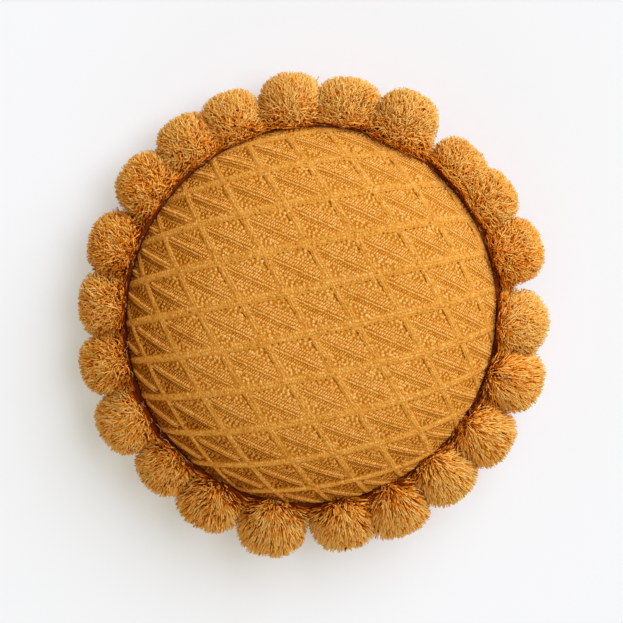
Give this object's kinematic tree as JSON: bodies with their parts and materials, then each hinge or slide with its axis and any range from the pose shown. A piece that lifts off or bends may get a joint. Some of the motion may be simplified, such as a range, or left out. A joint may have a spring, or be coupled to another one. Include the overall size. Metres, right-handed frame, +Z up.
{
  "type": "round cushion",
  "caption": "Round filled knitted cushion with a raised diamond lattice on its front and a ring of yarn pompoms tied along its seam, lying on its flattened back.",
  "frame": {"origin": "middle of the flat spot on the back, where the cushion rests", "axes": "+Z up out of the crowned front, +Y towards the top of the front as it is viewed, +X to its right"},
  "size_m": [0.472, 0.4834, 0.1406],
  "materials": {
    "knit_yarn": "matt ochre knitted yarn",
    "pompom_yarn": "matt ochre cut yarn"
  },
  "bodies": {
    "root": {"cushion": "knit_yarn", "pompom_01": "pompom_yarn", "pompom_02": "pompom_yarn", "pompom_03": "pompom_yarn", "pompom_04": "pompom_yarn", "pompom_05": "pompom_yarn", "pompom_06": "pompom_yarn", "pompom_07": "pompom_yarn", "pompom_08": "pompom_yarn", "pompom_09": "pompom_yarn", "pompom_10": "pompom_yarn", "pompom_11": "pompom_yarn", "pompom_12": "pompom_yarn", "pompom_13": "pompom_yarn", "pompom_14": "pompom_yarn", "pompom_15": "pompom_yarn", "pompom_16": "pompom_yarn", "pompom_17": "pompom_yarn", "pompom_18": "pompom_yarn", "pompom_19": "pompom_yarn", "pompom_20": "pompom_yarn", "pompom_21": "pompom_yarn", "pompom_22": "pompom_yarn"}
  },
  "joints": []
}
